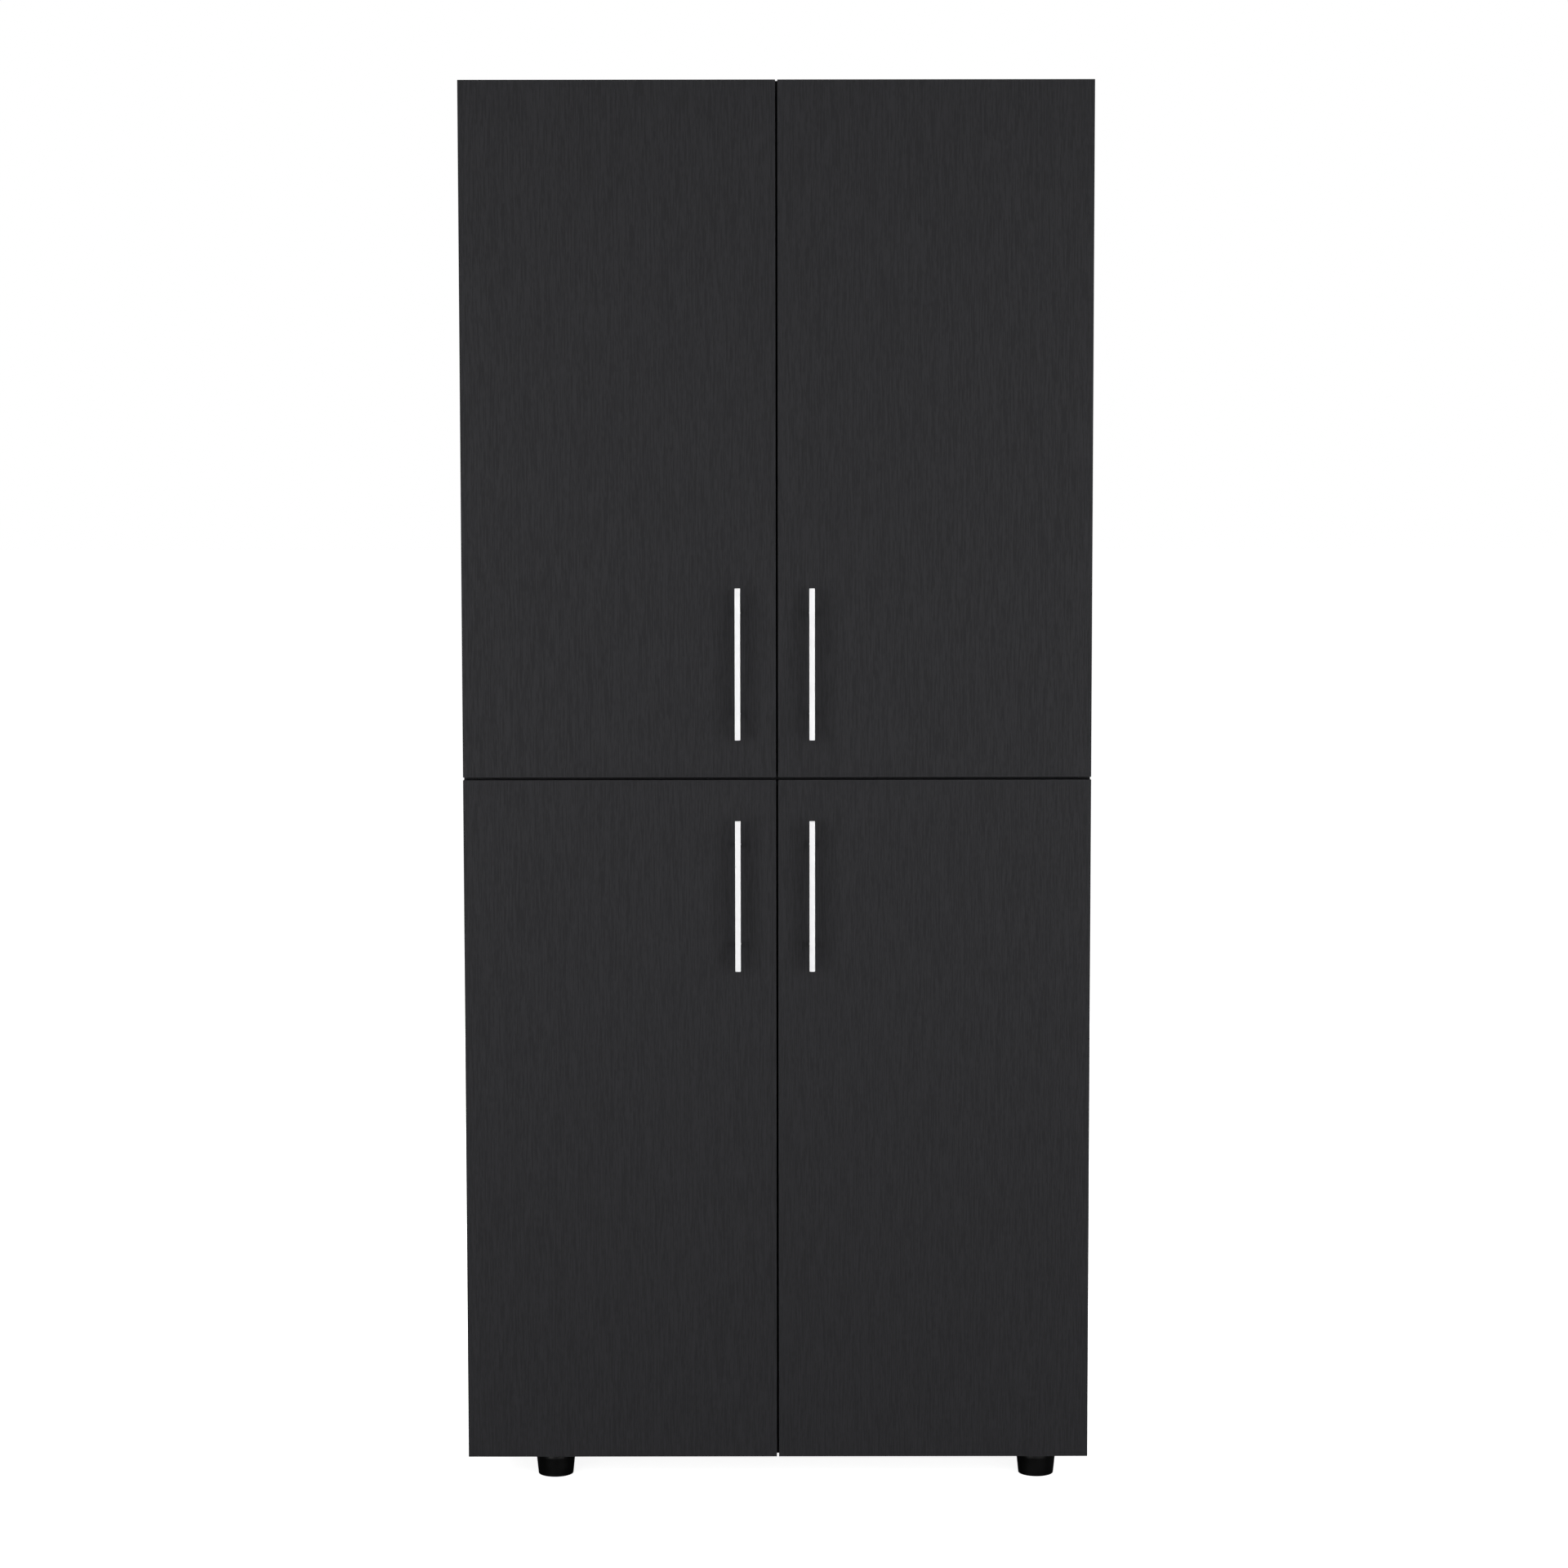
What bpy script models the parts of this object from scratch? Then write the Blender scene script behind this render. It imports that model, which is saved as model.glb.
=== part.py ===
"""Pantry cabinet: a board carcass on four feet, closed by two doors above and two doors below.

Metres, +Z up. The origin is on the floor under the middle of the cabinet, and the doors face -Y.
The left and right of every name are those of a person who stands in front of the cabinet.
"""

import math

import bmesh
import bpy
from mathutils import Matrix, Vector

# Whole cabinet
WIDTH = 0.800
DEPTH = 0.432  # from the front of the handles to the back of the joint strip
HEIGHT = 1.800
FOOT_HEIGHT = 0.041
FIT_GAP = 0.0003  # left between pieces that touch
SMOOTH_ANGLE = 35  # in degrees: sharper edges stay sharp in the shading

# Boards
BOARD = 0.015
BACK_BOARD = 0.003
BACK_BOARD_MARGIN = 0.002  # from the carcass's outer faces to the edges of the back boards
STRIP_FLANGE_THICK = 0.0012
STRIP_FLANGE_HALF = 0.010
STRIP_WEB_HALF = 0.00075

# Doors
DOOR_GAP = 0.0026  # between a left and a right door
LEVEL_GAP = 0.0033  # between the lower and the upper doors
DOOR_CLEARANCE = 0.0025  # from the back of the doors to the front of the carcass

# Handles: one casting each, a square bar on two round posts
HANDLE_STANDOFF = 0.032
HANDLE_LENGTH = 0.192
HANDLE_BAR = 0.0070
HANDLE_EDGE = 0.0007
HANDLE_HOLES = 0.128
HANDLE_POST_RADIUS = 0.0033
HANDLE_X = {"left": -0.0498, "right": 0.0445}
HANDLE_FROM_GAP_EDGE = {"upper": 0.0492, "lower": 0.0501}
HANDLE_POST_SIDES = 16

# Hinges, measured from a side's outer face and from the front of the carcass
HINGE_FROM_DOOR_END = 0.100
PIVOT_INSET = 0.006
PIVOT_FORWARD = 0.0105
CUP_RADIUS = 0.0175
CUP_DEPTH = 0.011
CUP_WALL = 0.0008
CUP_EDGE_DISTANCE = 0.003
CUP_SIDES = 24
EAR_HALF_LENGTH = 0.027
EAR_HALF_WIDTH = 0.008
EAR_THICK = 0.0012
ARM_HALF_WIDTH = 0.006
NOSE_HALF_WIDTH = 0.0025
NOSE_RADIUS = 0.0014
LEG_THICK = 0.0014
LEG_INNER = 0.0190
PIN_RADIUS = 0.0008
PIN_HALF_LENGTH = 0.0055
PIN_SIDES = 12
CROWN = 0.0245
CROWN_LENGTH = 0.056
CROWN_RISE = 0.010  # from the leg's bend to the flat crown
CROWN_SLOPE = 0.003
ARM_BEND = 0.003
ARM_LENGTH = 0.064
ARM_HEEL = 0.008  # where the arm's underside meets its plate
PLATE_THICK = 0.0025
PLATE_SETBACK = 0.037  # from the front of the carcass to the plate's screws
PLATE_HALF_LENGTH = 0.018
PLATE_HALF_WIDTH = 0.0065
WING_HALF_LENGTH = 0.008
WING_HALF_SPAN = 0.025
WING_TIP_HALF = 0.005

# Shelves and the pegs under them
UPPER_SHELVES = 2
LOWER_SHELVES = 1
SHELF_SETBACK = 0.010
SHELF_SIDE_GAP = 0.001
SHELF_BACK_GAP = 0.001
PEG_INSET = 0.037  # from the carcass's front and back edges
PEG_PITCH = 0.032
PEG_RADIUS = 0.0025
PEG_HEAD_RADIUS = 0.003
PEG_IN_SIDE = 0.008
PEG_HEAD_LENGTH = 0.009
PEG_SIDES = 8

# Feet
FOOT_X = {"left": -0.2917, "right": 0.3382}
FOOT_INSET = 0.0575  # from the carcass's front and back edges
FOOT_SIDES = 24
FOOT_BASE_RADIUS = 0.0229
FOOT_BASE_ROUND = 0.0012
FOOT_WIDEST_RADIUS = 0.0252
FOOT_WIDEST_HEIGHT = 0.0236
FOOT_CROWN_RADIUS = 0.018  # the slow curve inwards above the widest height
FOOT_CROWN_ANGLE = 25
FOOT_TOP_ROUND = 0.0015
FOOT_NECK_RADIUS = 0.0205
FOOT_FLANGE_RADIUS = 0.0270
FOOT_FLANGE_THICK = 0.0030

# Planes that follow
BACK = DEPTH / 2
DOOR_FRONT = HANDLE_STANDOFF - DEPTH / 2
DOOR_BACK = DOOR_FRONT + BOARD
CARCASS_FRONT = DOOR_BACK + DOOR_CLEARANCE
BACK_BOARD_REAR = BACK - STRIP_FLANGE_THICK - FIT_GAP
BACK_BOARD_FACE = BACK_BOARD_REAR - BACK_BOARD
CARCASS_BACK = BACK_BOARD_FACE - FIT_GAP
BOTTOM = FOOT_HEIGHT
MIDDLE = (BOTTOM + HEIGHT) / 2
INNER_HALF = WIDTH / 2 - BOARD
PIVOT_Y = CARCASS_FRONT - PIVOT_FORWARD
SIDES = {"left": -1, "right": 1}


def material(name, colour, roughness, metallic=0.0):
    """A Principled material of one colour."""
    made = bpy.data.materials.new(name)
    made.use_nodes = True
    shader = made.node_tree.nodes["Principled BSDF"]
    shader.inputs["Base Color"].default_value = (*colour, 1.0)
    shader.inputs["Roughness"].default_value = roughness
    shader.inputs["Metallic"].default_value = metallic
    return made


def add(name, mesh, surface, centre, parent=None, turn=(0.0, 0.0, 0.0)):
    """An object with the mesh at a world position, under a parent that isn't turned."""
    made = bpy.data.objects.new(name, mesh)
    bpy.context.scene.collection.objects.link(made)
    if not mesh.materials:
        mesh.materials.append(surface)
    made.location = Vector(centre)
    made.rotation_euler = turn
    if parent:
        made.parent = parent
        made.location -= parent.location
    return made


def mesh_of(shape, name, smooth=False):
    """A mesh from a bmesh, with its faces pointing out."""
    bmesh.ops.recalc_face_normals(shape, faces=shape.faces)
    made = bpy.data.meshes.new(name)
    shape.to_mesh(made)
    shape.free()
    if smooth:
        made.shade_smooth()
        made.set_sharp_from_angle(angle=math.radians(SMOOTH_ANGLE))
    return made


def block(size):
    """A box of a size, centred on the origin."""
    shape = bmesh.new()
    bmesh.ops.create_cube(shape, size=1.0)
    bmesh.ops.scale(shape, vec=Vector(size), verts=shape.verts)
    return shape


def rod(radius, length, sides, axis="Z"):
    """A round rod, centred on the origin."""
    shape = bmesh.new()
    bmesh.ops.create_cone(
        shape, cap_ends=True, segments=sides, radius1=radius, radius2=radius, depth=length
    )
    turns = {"X": Matrix.Rotation(math.pi / 2, 3, "Y"), "Y": Matrix.Rotation(math.pi / 2, 3, "X")}
    if axis in turns:
        bmesh.ops.rotate(shape, cent=Vector(), matrix=turns[axis], verts=shape.verts)
    return shape


def turned(profile, sides):
    """A solid of revolution about Z, from (radius, height) points that start and end on the axis."""
    shape = bmesh.new()
    spine = [shape.verts.new((radius, 0, height)) for radius, height in profile]
    edges = [shape.edges.new(pair) for pair in zip(spine, spine[1:])]
    bmesh.ops.spin(
        shape, geom=spine + edges, cent=Vector(), axis=Vector((0, 0, 1)), dvec=Vector(),
        angle=math.tau, steps=sides, use_merge=True,
    )
    bmesh.ops.remove_doubles(shape, verts=shape.verts, dist=1e-6)
    return shape


def extruded(outline, low, high, place):
    """An outline of (a, b) points pushed from low to high, with place(a, b, height) in space."""
    shape = bmesh.new()
    face = shape.faces.new([shape.verts.new(place(a, b, low)) for a, b in outline])
    pushed = bmesh.ops.extrude_face_region(shape, geom=[face])["geom"]
    reach = Vector(place(0, 0, high)) - Vector(place(0, 0, low))
    bmesh.ops.translate(shape, vec=reach, verts=[v for v in pushed if isinstance(v, bmesh.types.BMVert)])
    return shape


def join(shapes):
    """Several closed shapes in one bmesh, which a Boolean treats as one operand."""
    whole = bmesh.new()
    for shape, offset in shapes:
        bmesh.ops.translate(shape, vec=Vector(offset), verts=shape.verts)
        part = bpy.data.meshes.new("part")
        shape.to_mesh(part)
        shape.free()
        whole.from_mesh(part)
        bpy.data.meshes.remove(part)
    return whole


def boolean(target, tool, operation):
    """A Boolean modifier with a hidden tool that moves with its target."""
    tool.hide_render = True
    tool.display_type = "WIRE"
    modifier = target.modifiers.new(operation.title(), "BOOLEAN")
    modifier.operation = operation
    modifier.solver = "EXACT"
    modifier.object = tool


def baked(name, base, unions=(), cuts=()):
    """One mesh made from a base shape, the shapes fused to it and those cut from it."""
    carrier = add(name, mesh_of(base, name), None, (0, 0, 0))
    tools = []
    for operation, shapes in (("UNION", unions), ("DIFFERENCE", cuts)):
        for shape in shapes:
            tools.append(add(name + "_tool", mesh_of(shape, name), None, (0, 0, 0)))
            boolean(carrier, tools[-1], operation)
    bpy.context.view_layer.update()
    seen = carrier.evaluated_get(bpy.context.evaluated_depsgraph_get())
    made = bpy.data.meshes.new_from_object(seen)
    made.materials.clear()
    made.shade_smooth()
    made.set_sharp_from_angle(angle=math.radians(SMOOTH_ANGLE))
    for leftover in [carrier, *tools]:
        bpy.data.objects.remove(leftover)
    return made


def board(name, low, high, surface, parent=None):
    """A flat board between two corners."""
    low, high = Vector(low), Vector(high)
    return add(name, mesh_of(block(high - low), name), surface, (low + high) / 2, parent)


def drill(target, name, holes, parent=None):
    """Cuts holes, given as (shape, world centre) pairs, out of a board."""
    mesh = mesh_of(join(holes), name)
    tool = add(name, mesh, target.data.materials[0], parent.location if parent else (0, 0, 0), parent)
    if parent:
        mesh.transform(Matrix.Translation(-parent.location))
    boolean(target, tool, "DIFFERENCE")


def shelf_floors():
    """The height of each shelf's underside, by shelf name, with equal bays above and below."""
    low_bay = BOTTOM + BOARD
    middle_bay = MIDDLE + BOARD / 2
    clear_lower = MIDDLE - BOARD / 2 - low_bay
    clear_upper = HEIGHT - BOARD - middle_bay
    floors = {}
    for level, count, floor, clear in (
        ("lower", LOWER_SHELVES, low_bay, clear_lower),
        ("upper", UPPER_SHELVES, middle_bay, clear_upper),
    ):
        bay = (clear - count * BOARD) / (count + 1)
        for index in range(count):
            suffix = f"_{index + 1}" if count > 1 else ""
            floors[f"{level}_shelf{suffix}"] = floor + bay * (index + 1) + BOARD * index
    return floors


def peg_rows():
    """The Y of the front and back rows of peg holes."""
    return {"front": CARCASS_FRONT + PEG_INSET, "back": CARCASS_BACK - PEG_INSET}


def peg_height(floor):
    """The height of a peg's axis under a shelf."""
    return floor - FIT_GAP - PEG_HEAD_RADIUS


def add_carcass(melamine, hardboard, plastic):
    """The two sides with their peg holes, three fixed panels, two back boards and the joint strip."""
    depth = (CARCASS_FRONT, CARCASS_BACK)
    for side, sign in SIDES.items():
        edges = sorted((sign * INNER_HALF, sign * WIDTH / 2))
        panel = board(
            f"side_panel_{side}", (edges[0], depth[0], BOTTOM), (edges[1], depth[1], HEIGHT), melamine
        )
        holes = []
        hole_depth = PEG_IN_SIDE + 2 * FIT_GAP
        for floor in shelf_floors().values():
            for step in (-1, 0, 1):
                for row in peg_rows().values():
                    hole = rod(PEG_RADIUS + FIT_GAP, 2 * hole_depth, PEG_SIDES, "X")
                    holes.append((hole, (sign * INNER_HALF, row, peg_height(floor) + step * PEG_PITCH)))
        drill(panel, f"peg_holes_{side}", holes)
    half = INNER_HALF - FIT_GAP
    floors = {"bottom_panel": BOTTOM, "middle_panel": MIDDLE - BOARD / 2, "top_panel": HEIGHT - BOARD}
    for name, floor in floors.items():
        board(name, (-half, depth[0], floor), (half, depth[1], floor + BOARD), melamine)
    half = WIDTH / 2 - BACK_BOARD_MARGIN
    split = STRIP_WEB_HALF + FIT_GAP
    spans = {
        "back_board_lower": (BOTTOM + BACK_BOARD_MARGIN, MIDDLE - split),
        "back_board_upper": (MIDDLE + split, HEIGHT - BACK_BOARD_MARGIN),
    }
    for name, (low, high) in spans.items():
        board(name, (-half, BACK_BOARD_FACE, low), (half, BACK_BOARD_REAR, high), hardboard)
    flange_face = BACK - STRIP_FLANGE_THICK
    outline = [
        (BACK_BOARD_FACE, -STRIP_WEB_HALF),
        (flange_face, -STRIP_WEB_HALF),
        (flange_face, -STRIP_FLANGE_HALF),
        (BACK, -STRIP_FLANGE_HALF),
        (BACK, STRIP_FLANGE_HALF),
        (flange_face, STRIP_FLANGE_HALF),
        (flange_face, STRIP_WEB_HALF),
        (BACK_BOARD_FACE, STRIP_WEB_HALF),
    ]
    strip = extruded(outline, -half, half, lambda y, z, x: (x, y, z))
    add("back_joint_strip", mesh_of(strip, "back_joint_strip"), plastic, (0, 0, MIDDLE))


def add_shelves(melamine, steel):
    """The adjustable shelves, each on four pegs."""
    half = INNER_HALF - SHELF_SIDE_GAP
    front = CARCASS_FRONT + SHELF_SETBACK
    back = BACK_BOARD_FACE - SHELF_BACK_GAP
    head_end = PEG_IN_SIDE + PEG_HEAD_LENGTH
    profile = [
        (0, 0),
        (PEG_RADIUS, 0),
        (PEG_RADIUS, PEG_IN_SIDE + FIT_GAP),
        (PEG_HEAD_RADIUS, PEG_IN_SIDE + FIT_GAP),
        (PEG_HEAD_RADIUS, head_end),
        (0, head_end),
    ]
    peg = mesh_of(turned(profile, PEG_SIDES), "shelf_peg", smooth=True)
    for name, floor in shelf_floors().items():
        board(name, (-half, front, floor), (half, back, floor + BOARD), melamine)
        for side, sign in SIDES.items():
            for row, y in peg_rows().items():
                start = (sign * (INNER_HALF + PEG_IN_SIDE), y, peg_height(floor))
                add(f"peg_{name}_{row}_{side}", peg, steel, start, turn=(0, -sign * math.pi / 2, 0))


def foot_mesh():
    """A tapered foot that curves in to its rounded top, a narrower neck and a flange under the bottom panel."""

    def arc(centre, radius, first, last, steps):
        points = []
        for step in range(steps + 1):
            angle = math.radians(first + (last - first) * step / steps)
            across = centre[0] + radius * math.cos(angle)
            points.append((across, centre[1] + radius * math.sin(angle)))
        return points

    base_centre = (FOOT_BASE_RADIUS - FOOT_BASE_ROUND, FOOT_BASE_ROUND)
    crown_centre = (FOOT_WIDEST_RADIUS - FOOT_CROWN_RADIUS, FOOT_WIDEST_HEIGHT)
    crown = arc(crown_centre, FOOT_CROWN_RADIUS, 0, FOOT_CROWN_ANGLE, 3)
    slope = math.radians(FOOT_CROWN_ANGLE)
    rim_centre = (
        crown[-1][0] - FOOT_TOP_ROUND * math.cos(slope),
        crown[-1][1] - FOOT_TOP_ROUND * math.sin(slope),
    )
    rim = arc(rim_centre, FOOT_TOP_ROUND, FOOT_CROWN_ANGLE, 90, 2)
    top = FOOT_HEIGHT - FIT_GAP
    profile = [
        (0, 0),
        *arc(base_centre, FOOT_BASE_ROUND, -90, 0, 3),
        *crown,
        *rim[1:],
        (FOOT_NECK_RADIUS, rim[-1][1]),
        (FOOT_NECK_RADIUS, top - FOOT_FLANGE_THICK),
        (FOOT_FLANGE_RADIUS, top - FOOT_FLANGE_THICK),
        (FOOT_FLANGE_RADIUS, top),
        (0, top),
    ]
    return mesh_of(turned(profile, FOOT_SIDES), "foot", smooth=True)


def add_feet(plastic):
    """The four feet under the bottom panel."""
    mesh = foot_mesh()
    rows = {"front": CARCASS_FRONT + FOOT_INSET, "rear": CARCASS_BACK - FOOT_INSET}
    for row, y in rows.items():
        for side, x in FOOT_X.items():
            add(f"foot_{row}_{side}", mesh, plastic, (x, y, 0))


def cup_mesh():
    """A hinge cup along Z: a deep round cup under a flange with two screw ears."""
    rim_top = CUP_DEPTH + FIT_GAP + EAR_THICK
    body = turned([(0, 0), (CUP_RADIUS, 0), (CUP_RADIUS, rim_top), (0, rim_top)], CUP_SIDES)
    corner = EAR_HALF_WIDTH / 2
    outline = [
        (-EAR_HALF_WIDTH, -EAR_HALF_LENGTH + corner),
        (-corner, -EAR_HALF_LENGTH),
        (corner, -EAR_HALF_LENGTH),
        (EAR_HALF_WIDTH, -EAR_HALF_LENGTH + corner),
        (EAR_HALF_WIDTH, EAR_HALF_LENGTH - corner),
        (corner, EAR_HALF_LENGTH),
        (-corner, EAR_HALF_LENGTH),
        (-EAR_HALF_WIDTH, EAR_HALF_LENGTH - corner),
    ]
    ears = extruded(outline, CUP_DEPTH + FIT_GAP, rim_top, lambda x, y, z: (x, y, z))
    bore = rod(CUP_RADIUS - CUP_WALL, CUP_DEPTH * 2, CUP_SIDES)
    bmesh.ops.translate(bore, vec=Vector((0, 0, CUP_DEPTH + CUP_WALL)), verts=bore.verts)
    return baked("hinge_cup", body, [ears], [bore])


def arm_mesh(sign):
    """A hinge arm with its nose and pin, from the pivot back along a side's inner face.

    Points are (distance in from the side's outer face, distance back from the pivot).
    """
    half_leg = LEG_THICK / 2
    on_plate = BOARD + 2 * FIT_GAP + PLATE_THICK
    front = PIVOT_FORWARD
    body = [
        (LEG_INNER, -half_leg),
        (LEG_INNER, front + ARM_BEND),
        (CROWN, front + CROWN_RISE),
        (CROWN, front + CROWN_LENGTH),
        (CROWN - CROWN_SLOPE, front + ARM_LENGTH),
        (on_plate, front + ARM_LENGTH),
        (on_plate, front + ARM_HEEL),
        (LEG_INNER - LEG_THICK, front + ARM_BEND),
        (LEG_INNER - LEG_THICK, -half_leg),
    ]
    nose = [
        (PIVOT_INSET, -half_leg),
        (LEG_INNER - half_leg, -half_leg),
        (LEG_INNER - half_leg, half_leg),
        (PIVOT_INSET, half_leg),
    ]

    def place(inward, back, height):
        return (-sign * (inward - PIVOT_INSET), back, height)

    pieces = [
        extruded(nose, -NOSE_HALF_WIDTH, NOSE_HALF_WIDTH, place),
        rod(NOSE_RADIUS, 2 * NOSE_HALF_WIDTH - FIT_GAP, PIN_SIDES),
        rod(PIN_RADIUS, 2 * PIN_HALF_LENGTH, PIN_SIDES),
    ]
    main = extruded(body, -ARM_HALF_WIDTH, ARM_HALF_WIDTH, place)
    return baked("hinge_arm", main, pieces)


def plate_mesh():
    """A cross-shaped mounting plate that lies across X, with a wing above and below for its screws."""
    outline = [
        (-PLATE_HALF_LENGTH, -PLATE_HALF_WIDTH),
        (-WING_HALF_LENGTH, -PLATE_HALF_WIDTH),
        (-WING_TIP_HALF, -WING_HALF_SPAN),
        (WING_TIP_HALF, -WING_HALF_SPAN),
        (WING_HALF_LENGTH, -PLATE_HALF_WIDTH),
        (PLATE_HALF_LENGTH, -PLATE_HALF_WIDTH),
        (PLATE_HALF_LENGTH, PLATE_HALF_WIDTH),
        (WING_HALF_LENGTH, PLATE_HALF_WIDTH),
        (WING_TIP_HALF, WING_HALF_SPAN),
        (-WING_TIP_HALF, WING_HALF_SPAN),
        (-WING_HALF_LENGTH, PLATE_HALF_WIDTH),
        (-PLATE_HALF_LENGTH, PLATE_HALF_WIDTH),
    ]
    shape = extruded(outline, -PLATE_THICK / 2, PLATE_THICK / 2, lambda y, z, x: (x, y, z))
    return mesh_of(shape, "hinge_plate")


def handle_mesh():
    """A square bar along Z on two posts that reach back to the door."""
    bar = block((HANDLE_BAR, HANDLE_BAR, HANDLE_LENGTH))
    bmesh.ops.bevel(bar, geom=bar.edges, offset=HANDLE_EDGE, segments=1, affect="EDGES")
    reach = HANDLE_STANDOFF - HANDLE_BAR / 2 - FIT_GAP
    posts = []
    for sign in (-1, 1):
        post = rod(HANDLE_POST_RADIUS, reach, HANDLE_POST_SIDES, "Y")
        bmesh.ops.translate(post, vec=Vector((0, reach / 2, sign * HANDLE_HOLES / 2)), verts=post.verts)
        posts.append(post)
    return baked("handle", bar, posts)


def door_span(level):
    """The lowest and highest height of the doors of one level."""
    if level == "lower":
        return BOTTOM, MIDDLE - LEVEL_GAP / 2
    return MIDDLE + LEVEL_GAP / 2, HEIGHT


def add_doors(melamine, steel, satin):
    """Each door on an empty at its hinges' common axis, with its handle and cups, and its arms and plates."""
    cup, plate, handle = cup_mesh(), plate_mesh(), handle_mesh()
    arms = {side: arm_mesh(sign) for side, sign in SIDES.items()}
    cup_inset = CUP_EDGE_DISTANCE + CUP_RADIUS
    plate_inset = BOARD + FIT_GAP + PLATE_THICK / 2
    for level in ("upper", "lower"):
        low, high = door_span(level)
        hinge_heights = {"bottom": low + HINGE_FROM_DOOR_END, "top": high - HINGE_FROM_DOOR_END}
        for side, sign in SIDES.items():
            where = f"{level}_{side}"
            pivot_x = sign * (WIDTH / 2 - PIVOT_INSET)
            axis = bpy.data.objects.new(f"axis_{where}", None)
            bpy.context.scene.collection.objects.link(axis)
            axis.location = (pivot_x, PIVOT_Y, low)
            across = sorted((sign * WIDTH / 2, sign * DOOR_GAP / 2))
            door = board(
                f"door_{where}", (across[0], DOOR_FRONT, low), (across[1], DOOR_BACK, high), melamine, axis
            )
            inwards = -sign
            cup_x = sign * WIDTH / 2 + inwards * cup_inset
            bores = []
            for end, z in hinge_heights.items():
                bore = rod(CUP_RADIUS + FIT_GAP, 2 * (CUP_DEPTH + FIT_GAP), CUP_SIDES, "Y")
                bores.append((bore, (cup_x, DOOR_BACK, z)))
                seat = (cup_x, DOOR_BACK - CUP_DEPTH, z)
                add(f"hinge_cup_{where}_{end}", cup, steel, seat, axis, (-math.pi / 2, 0, 0))
                add(f"hinge_arm_{where}_{end}", arms[side], steel, (pivot_x, PIVOT_Y, z))
                plate_x = sign * WIDTH / 2 + inwards * plate_inset
                plate_at = (plate_x, CARCASS_FRONT + PLATE_SETBACK, z)
                add(f"hinge_plate_{where}_{end}", plate, steel, plate_at)
            drill(door, f"cup_bores_{where}", bores, axis)
            away = HANDLE_FROM_GAP_EDGE[level] + HANDLE_LENGTH / 2
            handle_z = low + away if level == "upper" else high - away
            handle_at = (HANDLE_X[side], HANDLE_BAR / 2 - DEPTH / 2, handle_z)
            add(f"handle_{where}", handle, satin, handle_at, axis)


def main():
    for old in list(bpy.data.objects):
        bpy.data.objects.remove(old)
    melamine = material("dark_melamine", (0.027, 0.027, 0.030), 0.55)
    hardboard = material("hardboard", (0.16, 0.10, 0.06), 0.80)
    strip = material("strip_plastic", (0.03, 0.03, 0.03), 0.50)
    steel = material("nickel_steel", (0.62, 0.61, 0.59), 0.28, 1.0)
    satin = material("satin_handle", (0.82, 0.82, 0.83), 0.35, 0.2)
    foot_black = material("foot_plastic", (0.006, 0.006, 0.007), 0.12)
    add_carcass(melamine, hardboard, strip)
    add_shelves(melamine, steel)
    add_doors(melamine, steel, satin)
    add_feet(foot_black)


main()
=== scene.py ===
"""The looks of a pantry cabinet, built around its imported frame.

Every place comes from the frame's nodes. Metres, +Z up, and the doors face -Y.
"""

import math

import bmesh
import bpy
from mathutils import Matrix, Vector


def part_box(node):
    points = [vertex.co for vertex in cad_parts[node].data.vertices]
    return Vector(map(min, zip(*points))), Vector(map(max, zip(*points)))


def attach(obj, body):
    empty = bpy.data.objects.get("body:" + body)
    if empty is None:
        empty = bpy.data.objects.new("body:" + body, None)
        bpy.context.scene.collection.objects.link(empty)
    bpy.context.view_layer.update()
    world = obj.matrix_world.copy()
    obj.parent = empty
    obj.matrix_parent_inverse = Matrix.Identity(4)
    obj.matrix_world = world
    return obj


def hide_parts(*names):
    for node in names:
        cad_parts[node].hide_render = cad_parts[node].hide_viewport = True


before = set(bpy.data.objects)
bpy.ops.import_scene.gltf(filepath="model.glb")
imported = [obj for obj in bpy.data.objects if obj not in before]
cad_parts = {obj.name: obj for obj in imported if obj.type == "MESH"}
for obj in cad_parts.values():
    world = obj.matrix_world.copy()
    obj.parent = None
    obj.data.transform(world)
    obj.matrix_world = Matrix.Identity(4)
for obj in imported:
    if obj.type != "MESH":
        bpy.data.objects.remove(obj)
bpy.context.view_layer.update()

# Camera and light
CAMERA_LENS = 85.0
CAMERA_AT = (0.0088, -4.882, 1.306)
CAMERA_PITCH = 4.774  # in degrees, below level
CAMERA_ROLL = -0.07
BACKDROP = 1.0
DOME = 0.15
FLOOR_SIZE = 60.0
FLOOR_THICK = 0.02
FLOOR_GAP = 0.0002  # under the feet
FLOOR_GLOW = 0.90
FLOOR_BOUNCE = 0.12
WHITE = (1, 1, 1)

# Melamine: its tone in red, green and blue, how far its grain departs from it, how much darker
# than the faces the edge bands are (painted shade, for the shade inside the gaps between the doors)
# and how much lighter the rounded edges are (a painted highlight, as if they caught the light)
MELAMINE_TONE = (0.0195, 0.0195, 0.0213)
MELAMINE_SHEEN = 0.075
GRAIN_CONTRAST = 0.135
# painted shade: every edge band is darkened to stand in for the shade inside the gaps
BAND_PAINTED_SHADE = 0.75
# painted highlight: every rounded edge is lightened as if it caught the light
EDGE_PAINTED_HIGHLIGHT = 1.3

# Names in the frame, with the side of X that each belongs to
LEVELS = ("upper", "lower")
SIDES = {"left": -1, "right": 1}
DOORS = {f"{level}_{side}": side for level in LEVELS for side in SIDES}
ENDS = ("bottom", "top")

X, Y, Z = range(3)
SMOOTH_ANGLE = 30.0  # in degrees: sharper edges stay sharp in the shading
OVERCUT = 0.001  # how far a cutter reaches past the face that it cuts


# ---------------------------------------------------------------- materials


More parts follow.
